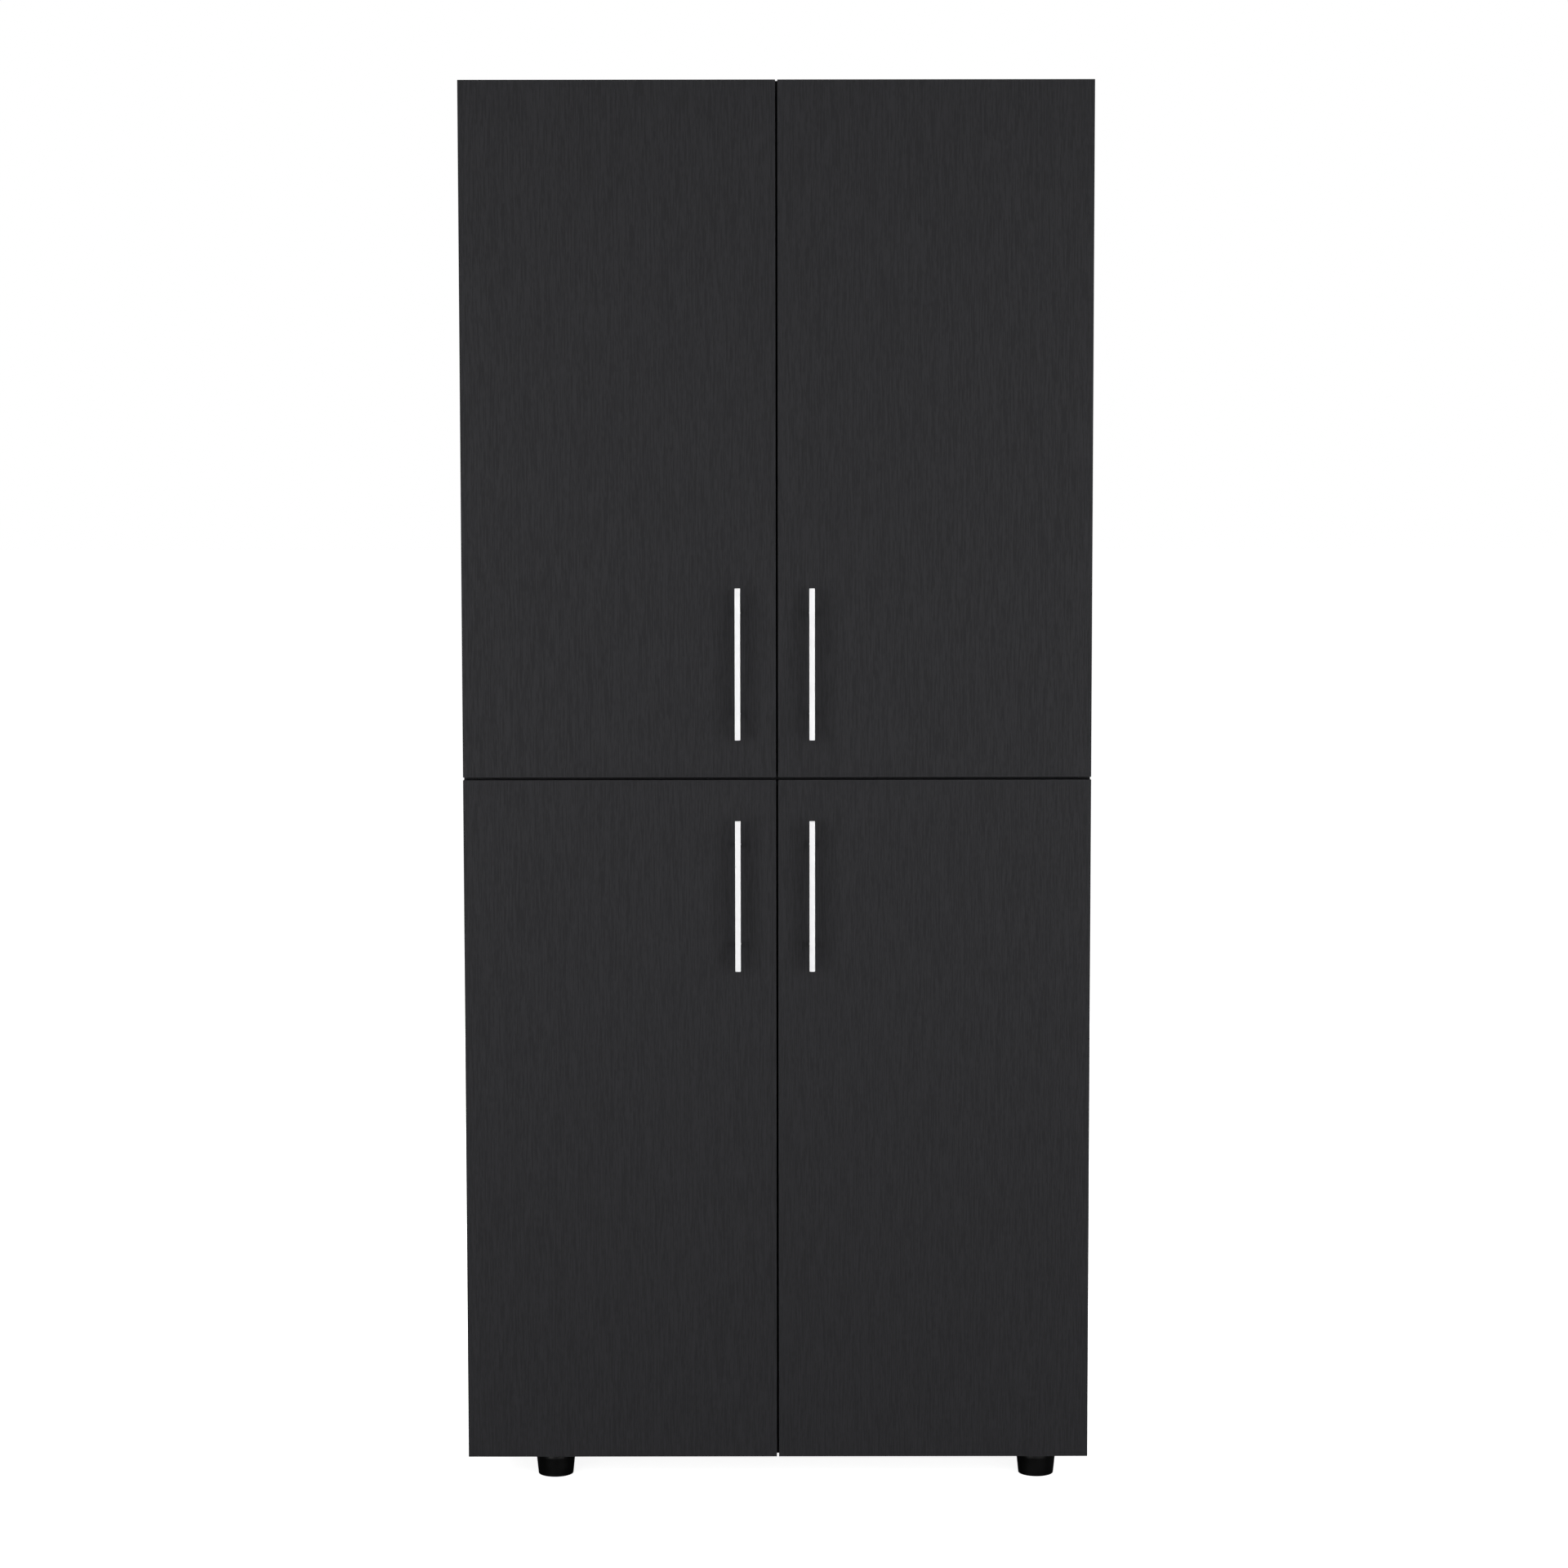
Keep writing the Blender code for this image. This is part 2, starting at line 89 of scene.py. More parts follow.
class Paint:
    """A Principled material with short ways to add and wire its nodes."""

    def __init__(self, name, **constants):
        self.material = bpy.data.materials.new(name)
        self.material.use_nodes = True
        self.tree = self.material.node_tree
        self.shader = self.tree.nodes["Principled BSDF"]
        for socket, value in constants.items():
            self.shader.inputs[socket.replace("_", " ")].default_value = value

    def node(self, kind, inputs=None, **settings):
        """A node with some of its inputs set or wired."""
        made = self.tree.nodes.new("ShaderNode" + kind)
        for key, value in settings.items():
            setattr(made, key, value)
        for key, value in (inputs or {}).items():
            self.wire(value, made.inputs[key])
        return made

    def wire(self, value, socket):
        """Joins a node's output to a socket, or sets the socket to a constant."""
        if isinstance(value, bpy.types.NodeSocket):
            self.tree.links.new(value, socket)
        else:
            socket.default_value = value

    def paint(self, socket, value):
        """Wires or sets one of the shader's own sockets."""
        self.wire(value, self.shader.inputs[socket])

    def coordinates(self, scale, offset=(0, 0, 0)):
        """Places on the object, in steps of 1 / scale metres."""
        place = self.node("TexCoord").outputs["Object"]
        mapping = {"Vector": place, "Scale": Vector(scale), "Location": Vector(offset)}
        return self.node("Mapping", mapping).outputs["Vector"]

    def noise(self, scale, offset=(0, 0, 0), detail=2.0, rough=0.5, bend=0.0):
        """Smooth noise about 0.5, with scale grains in each metre."""
        inputs = {
            "Vector": self.coordinates(scale, offset), "Scale": 1.0, "Detail": detail,
            "Roughness": rough, "Distortion": bend,
        }
        return self.node("TexNoise", inputs).outputs["Fac"]

    def remap(self, value, low, high, to_low=0.0, to_high=1.0):
        """A range of values stretched to another range, and clamped to it."""
        inputs = {
            "Value": value, "From Min": low, "From Max": high, "To Min": to_low, "To Max": to_high,
        }
        return self.node("MapRange", inputs).outputs["Result"]

    def math(self, operation, first, second):
        """One step of arithmetic."""
        made = self.node("Math", operation=operation)
        self.wire(first, made.inputs[0])
        self.wire(second, made.inputs[1])
        return made.outputs[0]

    def mix(self, factor, first, second):
        """Two colours mixed. Each is red, green and blue, or another node's output."""
        made = self.node("Mix", data_type="RGBA")
        self.wire(factor, made.inputs[0])
        for colour, socket in ((first, 6), (second, 7)):
            self.wire((*colour, 1) if isinstance(colour, (tuple, list)) else colour, made.inputs[socket])
        return made.outputs[2]

    def bump(self, height, depth):
        """A normal tilted by a height map whose full range is depth metres."""
        inputs = {"Height": height, "Distance": depth, "Strength": 1.0}
        return self.node("Bump", inputs).outputs["Normal"]


def along(axis, across, length):
    """A texture scale for streaks of a width and a length along an axis."""
    scale = [1 / across] * 3
    scale[axis] = 1 / length
    return scale


def melamine(name, axis, offset=(0, 0, 0), painted_light_scale=1.0):
    """Charcoal melamine with a fine straight grain, embossed a little. Its tone is scaled: above 1 as a
    painted highlight, below 1 as painted shade.
    """
    paint = Paint(name, Specular_IOR_Level=MELAMINE_SHEEN)
    lines = paint.noise(along(axis, 0.0014, 0.034), offset, detail=0.0)
    patches = paint.noise(along(axis, 0.0060, 0.016), offset, detail=0.0)
    dashes = paint.noise(along(axis, 0.0013, 0.0075), offset, detail=0.0)
    cloud = paint.noise(along(axis, 0.030, 0.060), offset, detail=2.0)
    pore = paint.noise(along(axis, 0.0009, 0.010), offset, detail=0.0)
    strength = paint.remap(patches, 0.35, 0.65, 0.3, 1.7)
    drawn = paint.math("MULTIPLY", paint.math("SUBTRACT", lines, 0.5), strength)
    dashed = paint.math("MULTIPLY", paint.math("SUBTRACT", dashes, 0.5), 0.55)
    streak = paint.remap(paint.math("ADD", drawn, dashed), -0.20, 0.20)
    mottle = paint.remap(cloud, 0.3, 0.7, -0.02, 0.02)
    tone = paint.math("ADD", streak, mottle)
    # Above 1 the scale paints a highlight into the tone, below 1 it paints shade
    dark = [painted_light_scale * (1 - GRAIN_CONTRAST) * c for c in MELAMINE_TONE]
    light = [painted_light_scale * (1 + GRAIN_CONTRAST) * c for c in MELAMINE_TONE]
    paint.paint("Base Color", paint.mix(tone, dark, light))
    pores = paint.remap(pore, 0.58, 0.72)
    paint.paint("Roughness", paint.remap(streak, 0.0, 1.0, 0.52, 0.44))
    paint.paint("Normal", paint.bump(paint.math("SUBTRACT", streak, pores), 0.00003))
    return paint.material


def chipboard():
    """The raw edge of particle board: pale and dark flakes in glue."""
    paint = Paint("raw_chipboard", Roughness=0.9, Specular_IOR_Level=0.2)
    flakes = paint.node("TexVoronoi", {"Vector": paint.coordinates((420, 420, 900)), "Scale": 1.0})
    grey = paint.node("RGBToBW", {"Color": flakes.outputs["Color"]}).outputs[0]
    dust = paint.noise((1500, 1500, 1500), detail=3.0)
    tone = paint.mix(grey, (0.20, 0.12, 0.062), (0.46, 0.33, 0.20))
    paint.paint("Base Color", paint.mix(paint.remap(dust, 0.4, 0.8, 0.0, 0.5), tone, (0.15, 0.09, 0.05)))
    paint.paint("Normal", paint.bump(paint.math("ADD", grey, dust), 0.00025))
    return paint.material


def hardboard():
    """The smooth brown side of a pressed fibre board."""
    paint = Paint("raw_hardboard", Specular_IOR_Level=0.3)
    fibres = paint.noise((700, 60, 520), detail=6.0, rough=0.7, bend=1.5)
    flecks = paint.noise((95, 60, 150), detail=4.0, rough=0.75, bend=0.8)
    cloud = paint.noise((6, 6, 4), detail=5.0, rough=0.6)
    speckle = paint.math("ADD", paint.math("MULTIPLY", flecks, 0.55), paint.math("MULTIPLY", fibres, 0.45))
    tone = paint.mix(paint.remap(speckle, 0.34, 0.66), (0.098, 0.056, 0.028), (0.265, 0.165, 0.092))
    stain = paint.remap(cloud, 0.36, 0.66, 0.0, 0.55)
    paint.paint("Base Color", paint.mix(stain, tone, (0.132, 0.074, 0.037)))
    paint.paint("Roughness", paint.remap(fibres, 0.3, 0.7, 0.62, 0.82))
    paint.paint("Normal", paint.bump(fibres, 0.00008))
    return paint.material


def lacquered_hardboard():
    """The printed inner side of a back board, dark like the carcass."""
    paint = Paint("painted_hardboard", Specular_IOR_Level=0.25)
    grain = paint.noise(along(X, 0.0016, 0.040), detail=3.0, rough=0.6)
    tone = paint.mix(paint.remap(grain, 0.3, 0.7), (0.014, 0.014, 0.015), (0.026, 0.026, 0.028))
    paint.paint("Base Color", tone)
    paint.paint("Roughness", paint.remap(grain, 0.3, 0.7, 0.60, 0.50))
    paint.paint("Normal", paint.bump(grain, 0.00004))
    return paint.material


def moulded_plastic(name, colour, roughness, gloss=0.5, grain=0.00002):
    """A moulded or extruded plastic with a faint orange peel."""
    paint = Paint(name, Specular_IOR_Level=gloss)
    peel = paint.noise((900, 900, 900), detail=2.0)
    cloud = paint.noise((45, 45, 45), detail=3.0)
    paint.paint("Base Color", paint.mix(paint.remap(cloud, 0.3, 0.7), [0.85 * c for c in colour], colour))
    paint.paint("Roughness", paint.remap(cloud, 0.3, 0.7, roughness * 0.85, roughness * 1.15))
    paint.paint("Normal", paint.bump(peel, grain))
    return paint.material


def satin_metal(name, dark, light, roughness, axis, metallic=1.0):
    """A metal or metallic finish, brushed finely along an axis."""
    paint = Paint(name, Metallic=metallic)
    brush = paint.noise(along(axis, 0.00035, 0.030), detail=3.0, rough=0.65)
    cloud = paint.noise((60, 60, 60), detail=2.0)
    shade = paint.remap(paint.math("ADD", brush, paint.math("MULTIPLY", cloud, 0.4)), 0.45, 0.95)
    paint.paint("Base Color", paint.mix(shade, dark, light))
    paint.paint("Roughness", paint.remap(brush, 0.3, 0.7, roughness * 1.15, roughness * 0.85))
    paint.paint("Normal", paint.bump(brush, 0.000012))
    return paint.material


class Finishes:
    """The materials that the pieces share, made once; each board's face melamine is made with its board."""

    def __init__(self):
        # The edge bands are darkened as painted shade for the gaps between the doors
        self.band_x = melamine("edge_band_x", X, (3.1, 1.7, 0.4), BAND_PAINTED_SHADE)
        self.band_y = melamine("edge_band_y", Y, (0.3, 2.9, 1.1), BAND_PAINTED_SHADE)
        self.band_z = melamine("edge_band_z", Z, (1.9, 0.6, 2.3), BAND_PAINTED_SHADE)
        # The rounded edges are lightened as a painted highlight
        self.round = melamine("rounded_edge_painted_highlight", Z, (0.7, 0.2, 5.3), EDGE_PAINTED_HIGHLIGHT)
        self.raw = chipboard()
        self.back = hardboard()
        self.back_face = lacquered_hardboard()
        self.strip = moulded_plastic("strip_plastic", (0.022, 0.022, 0.023), 0.45)
        self.foot = moulded_plastic("foot_plastic", (0.0006, 0.0006, 0.0007), 0.43, 0.19, 0.00001)
        self.handle = satin_metal("handle_satin", (0.80, 0.80, 0.81), (0.92, 0.92, 0.925), 0.34, Z, 0.15)
        self.steel = satin_metal("nickel_steel", (0.50, 0.49, 0.47), (0.68, 0.67, 0.65), 0.26, Y)
        self.screw = satin_metal("zinc_screw", (0.46, 0.47, 0.49), (0.66, 0.67, 0.69), 0.32, Z)
        self.nail = satin_metal("nail_steel", (0.34, 0.34, 0.35), (0.50, 0.50, 0.52), 0.38, X)
        self.cam = satin_metal("cam_zinc", (0.42, 0.42, 0.43), (0.60, 0.60, 0.62), 0.42, X)


# ---------------------------------------------------------------- shapes


def finished(shape, name, finishes, smooth=SMOOTH_ANGLE):
    """An object from a bmesh, facing out, with smooth rounds and sharp corners."""
    bmesh.ops.recalc_face_normals(shape, faces=shape.faces)
    mesh = bpy.data.meshes.new(name)
    shape.to_mesh(mesh)
    shape.free()
    for finish in finishes:
        mesh.materials.append(finish)
    mesh.shade_smooth()
    mesh.set_sharp_from_angle(angle=math.radians(smooth))
    made = bpy.data.objects.new(name, mesh)
    bpy.context.scene.collection.objects.link(made)
    return made


def block(low, high, radius=0.0, segments=3, round_index=-1, face_index=None):
    """A box with rounded edges. face_index(normal) gives each side's material number."""
    low, high = Vector(low), Vector(high)
    shape = bmesh.new()
    bmesh.ops.create_cube(shape, size=1.0)
    bmesh.ops.scale(shape, vec=high - low, verts=shape.verts)
    bmesh.ops.translate(shape, vec=(low + high) / 2, verts=shape.verts)
    if face_index:
        shape.normal_update()
        for face in shape.faces:
            face.material_index = face_index(face.normal)
    if radius:
        bmesh.ops.bevel(
            shape, geom=shape.edges, offset=radius, segments=segments, profile=0.5,
            affect="EDGES", material=round_index, clamp_overlap=True,
        )
    return shape


def turned(profile, sides=48):
    """A solid of revolution about Z, from (radius, height) points that start and end on the axis."""
    shape = bmesh.new()
    rings = []
    for radius, height in profile:
        count = 1 if radius == 0 else sides
        angles = [math.tau * step / sides for step in range(count)]
        rings.append([shape.verts.new((radius * math.cos(a), radius * math.sin(a), height)) for a in angles])
    for low, high in zip(rings, rings[1:]):
        for step in range(sides):
            after = (step + 1) % sides
            if len(low) == 1:
                shape.faces.new((low[0], high[step], high[after]))
            elif len(high) == 1:
                shape.faces.new((low[step], low[after], high[0]))
            else:
                shape.faces.new((low[step], low[after], high[after], high[step]))
    return shape


def arc(centre, radius, first, last, steps=6):
    """Points on an arc, from one angle to another in degrees."""
    points = []
    for step in range(steps + 1):
        angle = math.radians(first + (last - first) * step / steps)
        points.append((centre[0] + radius * math.cos(angle), centre[1] + radius * math.sin(angle)))
    return points


def prism(outline, low, high, place, radius=0.0, segments=3):
    """An outline of (a, b) points pushed from low to high, with place(a, b, height) in space."""
    shape = bmesh.new()
    base = [shape.verts.new(place(a, b, low)) for a, b in outline]
    top = [shape.verts.new(place(a, b, high)) for a, b in outline]
    shape.faces.new(base)
    shape.faces.new(top)
    for here in range(len(outline)):
        after = (here + 1) % len(outline)
        shape.faces.new((base[here], base[after], top[after], top[here]))
    bmesh.ops.recalc_face_normals(shape, faces=shape.faces)
    if radius:
        rims = [e for e in shape.edges if len({v in base for v in e.verts}) == 1]
        bmesh.ops.bevel(
            shape, geom=rims, offset=radius, segments=segments, profile=0.5,
            affect="EDGES", clamp_overlap=True,
        )
    return shape


def rectangle(half_a, half_b):
    """The corners of a rectangle about the origin."""
    return [(-half_a, -half_b), (half_a, -half_b), (half_a, half_b), (-half_a, half_b)]


def rounded_outline(corners, radius, steps=5):
    """A closed outline with its corners rounded, by one radius or by one for each corner."""
    points = []
    count = len(corners)
    for here in range(count):
        corner = Vector(corners[here])
        before = (Vector(corners[here - 1]) - corner).normalized()
        after = (Vector(corners[(here + 1) % count]) - corner).normalized()
        half = before.angle(after) / 2
        own = radius[here] if isinstance(radius, (list, tuple)) else radius
        reach = own / math.tan(half)
        middle = corner + (before + after).normalized() * (own / math.sin(half))
        start = corner + before * reach - middle
        end = corner + after * reach - middle
        for step in range(steps + 1):
            share = step / steps
            spoke = (start * (1 - share) + end * share).normalized() * own
            points.append(tuple(middle + spoke))
    return points


def moved(shape, offset=(0, 0, 0), turn=None):
    """The shape turned about the origin and then shifted."""
    if turn is not None:
        bmesh.ops.transform(shape, matrix=turn.to_4x4(), verts=shape.verts)
    bmesh.ops.translate(shape, vec=Vector(offset), verts=shape.verts)
    return shape


def gathered(shapes):
    """Several shapes in one bmesh, with their material numbers kept."""
    whole = bmesh.new()
    for shape in shapes:
        carrier = bpy.data.meshes.new("carrier")
        shape.to_mesh(carrier)
        shape.free()
        whole.from_mesh(carrier)
        bpy.data.meshes.remove(carrier)
    return whole


def carved(piece, cuts=(), unions=(), finish=None):
    """Fuses shapes to the piece, cuts others from it, and gives the new faces a finish of their own."""
    tools = []
    for operation, shapes in (("UNION", unions), ("DIFFERENCE", cuts)):
        for shape in shapes:
            tool = finished(shape, "tool", [finish] if finish else list(piece.data.materials)[:1])
            modifier = piece.modifiers.new(operation.title(), "BOOLEAN")
            modifier.operation = operation
            modifier.solver = "EXACT"
            modifier.material_mode = "TRANSFER"
            modifier.object = tool
            tools.append(tool)
    bpy.context.view_layer.update()
    seen = piece.evaluated_get(bpy.context.evaluated_depsgraph_get())
    mesh = bpy.data.meshes.new_from_object(seen)
    piece.modifiers.clear()
    piece.data = mesh
    mesh.shade_smooth()
    mesh.set_sharp_from_angle(angle=math.radians(SMOOTH_ANGLE))
    for tool in tools:
        bpy.data.objects.remove(tool)


def released(piece):
    """The piece's shape as a bmesh. The piece itself goes."""
    shape = bmesh.new()
    shape.from_mesh(piece.data)
    bpy.data.objects.remove(piece)
    return shape


def settle(piece, body, slot, *nodes):
    """Rides the piece on its body and hides the CAD nodes that it stands for. The slot, its finish's name, is
    not used.

    Its normals are weighted by area, so that a wide flat face stays flat beside its rounded edges.
    """
    weighted = piece.modifiers.new("weighted_normals", "WEIGHTED_NORMAL")
    weighted.keep_sharp = True
    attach(piece, body)
    if nodes:
        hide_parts(*nodes)


def middle(node):
    """The centre of a node's box."""
    low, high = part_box(node)
    return (low + high) / 2


AIM = {
    "+x": Matrix.Rotation(math.pi / 2, 3, "Y"),
    "-x": Matrix.Rotation(-math.pi / 2, 3, "Y"),
    "+y": Matrix.Rotation(-math.pi / 2, 3, "X"),
    "-y": Matrix.Rotation(math.pi / 2, 3, "X"),
    "+z": Matrix.Identity(3),
    "-z": Matrix.Rotation(math.pi, 3, "X"),
}


def cross(reach, arm, low, high):
    """The two bars of a cross slot, each from low to high."""
    return [
        block((-reach, -arm, low), (reach, arm, high)),
        block((-arm, -reach, low), (arm, reach, high)),
    ]


SCREW_SUNK = 0.0004
SCREW_SIDES = 28


def screw_head(radius, height, recess):
    """A domed screw head with a cross recess, its seat at the origin and its top towards +Z."""
    dome = [math.radians(angle) for angle in range(0, 90, 15)]
    profile = [(0, -SCREW_SUNK), (radius, -SCREW_SUNK)]
    profile += [(radius * math.cos(angle), height * math.sin(angle)) for angle in dome]
    profile += [(0, height)]
    head = finished(turned(profile, SCREW_SIDES), "head", [])
    carved(head, cross(recess, recess * 0.24, height * 0.2, height * 2))
    return released(head)


def repeated(name, shape, places, finish):
    """One object with a copy of the shape at each (position, direction). The shape can be used again."""
    mesh = bpy.data.meshes.new("pattern")
    shape.to_mesh(mesh)
    whole = bmesh.new()
    for position, direction in places:
        count = len(whole.verts)
        whole.from_mesh(mesh)
        whole.verts.ensure_lookup_table()
        fresh = whole.verts[count:]
        turn = Matrix.Translation(Vector(position)) @ AIM[direction].to_4x4()
        bmesh.ops.transform(whole, matrix=turn, verts=fresh)
    bpy.data.meshes.remove(mesh)
    return finished(whole, name, [finish])


# ---------------------------------------------------------------- boards

BOARD_ROUND = 0.0006
PEG_PITCH = 0.032
PEG_HOLE_RADIUS = 0.0027
PEG_HOLE_DEPTH = 0.0095
CAM_RADIUS = 0.0075
CAM_GAP = 0.0003  # round a cam, in its bore
CAM_FLOOR_GAP = 0.001  # under it
CAM_DEPTH = 0.0122
CAM_ROUND = 0.0005
CAM_FROM_END = 0.034
CAM_FROM_EDGE = 0.060
CAM_SINK = 0.0004
CAM_SLOT_REACH = 0.0048
CAM_SLOT_HALF_WIDTH = 0.0009
CAM_SLOT_DEPTH = 0.003


def board(name, low, high, numbers, finishes):
    """A board with rounded edges. numbers(normal) gives each side's place in the finishes; 2 is the round."""
    return finished(block(low, high, BOARD_ROUND, 3, 2, numbers), name, finishes)


def bore(radius, depth, sides, place, turn=None):
    """A cutter for a round hole, as deep below a face as it stands above it."""
    profile = [(0, -depth), (radius, -depth), (radius, depth), (0, depth)]
    return moved(turned(profile, sides), place, turn)


def peg_nodes():
    """The names of the shelf pegs."""
    return sorted(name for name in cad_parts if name.startswith("peg_"))


def side_panels(finishes):
    """The two sides, banded in front and on top, raw behind and below, with their peg holes."""
    for side, sign in SIDES.items():
        name = f"side_panel_{side}"
        low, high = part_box(name)
        inner = low[X] if sign > 0 else high[X]

        def numbers(normal):
            if abs(normal.x) > 0.5:
                return 0
            if normal.y < -0.5:
                return 1
            return 4 if normal.z > 0.5 else 3

        face = melamine(f"melamine_{name}", Z, (4.0 * sign, 0.8, 1.3))
        surfaces = [face, finishes.band_z, finishes.round, finishes.raw, finishes.band_y]
        piece = board(f"{name}_board", low, high, numbers, surfaces)
        holes = []
        for peg in peg_nodes():
            if peg.endswith(side):
                centre = middle(peg)
                for step in (-1, 0, 1):
                    at = (inner, centre.y, centre.z + step * PEG_PITCH)
                    holes.append(bore(PEG_HOLE_RADIUS, PEG_HOLE_DEPTH, 20, at, AIM["+x"]))
        carved(piece, [gathered(holes)], finish=finishes.raw)
        settle(piece, "cabinet", "dark_melamine", name)


def level_panels(finishes):
    """The fixed panels and shelves: grain across, front edge banded, with cams under the fixed ones."""
    fixed = ("bottom_panel", "middle_panel", "top_panel")
    shelves = sorted(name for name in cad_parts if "shelf" in name and not name.startswith("peg_"))
    cams = []
    for count, name in enumerate((*fixed, *shelves)):
        low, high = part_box(name)

        def numbers(normal):
            if abs(normal.z) > 0.5:
                return 0
            if normal.y < -0.5:
                return 1
            return 3

        face = melamine(f"melamine_{name}", X, (0.9 * count, 1.7 * count, 0.3))
        surfaces = [face, finishes.band_x, finishes.round, finishes.raw]
        piece = board(f"{name}_board", low, high, numbers, surfaces)
        if name in fixed:
            bores = []
            for x in (low.x + CAM_FROM_END, high.x - CAM_FROM_END):
                for y in (low.y + CAM_FROM_EDGE, high.y - CAM_FROM_EDGE):
                    bores.append(bore(CAM_RADIUS, CAM_DEPTH, 32, (x, y, low.z)))
                    cams.append(((x, y, low.z + CAM_SINK), "-z"))
            carved(piece, [gathered(bores)], finish=finishes.raw)
        settle(piece, "cabinet", "dark_melamine", name)
    cam_discs(cams, finishes)


def cam_discs(places, finishes):
    """The turning discs of the cam fasteners, each with a cross slot, sunk into the panels."""
    radius = CAM_RADIUS - CAM_GAP
    bottom = CAM_FLOOR_GAP - CAM_DEPTH
    profile = [(0, bottom), (radius, bottom), (radius, -CAM_ROUND), (radius - CAM_ROUND, 0), (0, 0)]
    disc = finished(turned(profile, 32), "disc", [])
    carved(disc, cross(CAM_SLOT_REACH, CAM_SLOT_HALF_WIDTH, -CAM_SLOT_DEPTH, OVERCUT))
    settle(repeated("cam_fasteners", released(disc), places, finishes.cam), "cabinet", "nickel_steel")


BACK_ROUND = 0.0003
NAIL_INSET = 0.0075
NAIL_SPACING = 0.150
NAIL_SHANK = 0.0007
NAIL_IN_BOARD = 0.003
NAIL_HEAD_RADIUS = 0.0028
NAIL_HEAD_ROUND = 0.0004
NAIL_HEAD_HEIGHT = 0.0010


def nail():
    """A nail along +Z: a thin shank and a low round head that rests on the board."""
    rim = arc((NAIL_HEAD_RADIUS - NAIL_HEAD_ROUND, NAIL_HEAD_ROUND), NAIL_HEAD_ROUND, -90, 60, 4)
    crown = [(0.0012, 0.95 * NAIL_HEAD_HEIGHT), (0, NAIL_HEAD_HEIGHT)]
    shank = [(0, -NAIL_IN_BOARD), (NAIL_SHANK, -NAIL_IN_BOARD), (NAIL_SHANK, 0)]
    return turned([*shank, *rim, *crown], 16)


def back_boards(finishes):
    """The two back boards, brown behind and dark inside, with their nails and the joint strip."""
    places = []
    for level in LEVELS:
        name = f"back_board_{level}"
        low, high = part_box(name)

        def numbers(normal):
            return 1 if normal.y < -0.5 else 0

        shape = block(low, high, BACK_ROUND, 2, -1, numbers)
        piece = finished(shape, f"{name}_sheet", [finishes.back, finishes.back_face])
        settle(piece, "cabinet", "hardboard", name)
        strip_low, strip_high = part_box("back_joint_strip")
        bottom = low.z + NAIL_INSET if level == "lower" else strip_high.z + NAIL_INSET
        top = high.z - NAIL_INSET if level == "upper" else strip_low.z - NAIL_INSET
        left, right = low.x + NAIL_INSET, high.x - NAIL_INSET
        tall = round((top - bottom) / NAIL_SPACING)
        wide = round((right - left) / NAIL_SPACING)
        for step in range(tall + 1):
            height = bottom + (top - bottom) * step / tall
            places += [((x, high.y, height), "+y") for x in (left, right)]
        edge = top if level == "upper" else bottom
        for step in range(1, wide):
            places.append(((left + (right - left) * step / wide, high.y, edge), "+y"))
    settle(repeated("back_nails", nail(), places, finishes.nail), "cabinet", "nickel_steel")
    joint_strip(finishes)


STRIP_FLANGE_THICK = 0.0012
STRIP_WEB_HALF = 0.00075
GROOVE_PLACE = 0.55  # of the way from the flange's middle to its edge
GROOVE_HALF = 0.0006
GROOVE_DEPTH = 0.0003


def joint_strip(finishes):
    """The extruded strip between the back boards, with two fine grooves along its flange."""
    low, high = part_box("back_joint_strip")
    flange = high.y - STRIP_FLANGE_THICK
    groove = high.y - GROOVE_DEPTH
    half = (high.z - low.z) / 2
    middle_z = (high.z + low.z) / 2
    corners = [(low.y, -STRIP_WEB_HALF), (flange, -STRIP_WEB_HALF), (flange, -half), (high.y, -half)]
    for at in (-half * GROOVE_PLACE, half * GROOVE_PLACE):
        corners += [
            (high.y, at - GROOVE_HALF), (groove, at - GROOVE_HALF / 3),
            (groove, at + GROOVE_HALF / 3), (high.y, at + GROOVE_HALF),
        ]
    corners += [(high.y, half), (flange, half), (flange, STRIP_WEB_HALF), (low.y, STRIP_WEB_HALF)]
    shape = prism(corners, low.x, high.x, lambda y, z, x: (x, y, middle_z + z))
    piece = finished(shape, "joint_strip_profile", [finishes.strip])
    settle(piece, "cabinet", "strip_plastic", "back_joint_strip")


# ---------------------------------------------------------------- doors

CUP_BORE_RADIUS = 0.0177
CUP_BORE_DEPTH = 0.0114


def doors(finishes):
    """The four doors: grain upright, all four edges banded, and two cup bores in the back of each."""
    for count, where in enumerate(DOORS):
        name = f"door_{where}"
        low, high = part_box(name)

        def numbers(normal):
            if abs(normal.y) > 0.5:
                return 0
            return 1 if abs(normal.x) > 0.5 else 3

        face = melamine(f"melamine_{name}", Z, (2.3 * count, 0.9 * count, 3.7 * count))
        surfaces = [face, finishes.band_z, finishes.round, finishes.band_x]
        piece = board(f"{name}_leaf", low, high, numbers, surfaces)
        bores = []
        for end in ENDS:
            centre = middle(f"hinge_cup_{where}_{end}")
            at = (centre.x, high.y, centre.z)
            bores.append(bore(CUP_BORE_RADIUS, CUP_BORE_DEPTH, 56, at, AIM["+y"]))
        carved(piece, [gathered(bores)], finish=finishes.raw)
        settle(piece, name, "dark_melamine", name)


HANDLE_HOLES = 0.128
HANDLE_ROUND = 0.0008
POST_RADIUS = 0.0033
COLLAR_RADIUS = 0.0036
COLLAR_HEIGHT = 0.0009
COLLAR_TAPER = 0.0004
HANDLE_SCREW = (0.0042, 0.0024, 0.0023)  # radius, height and reach of the recess, as in all screws


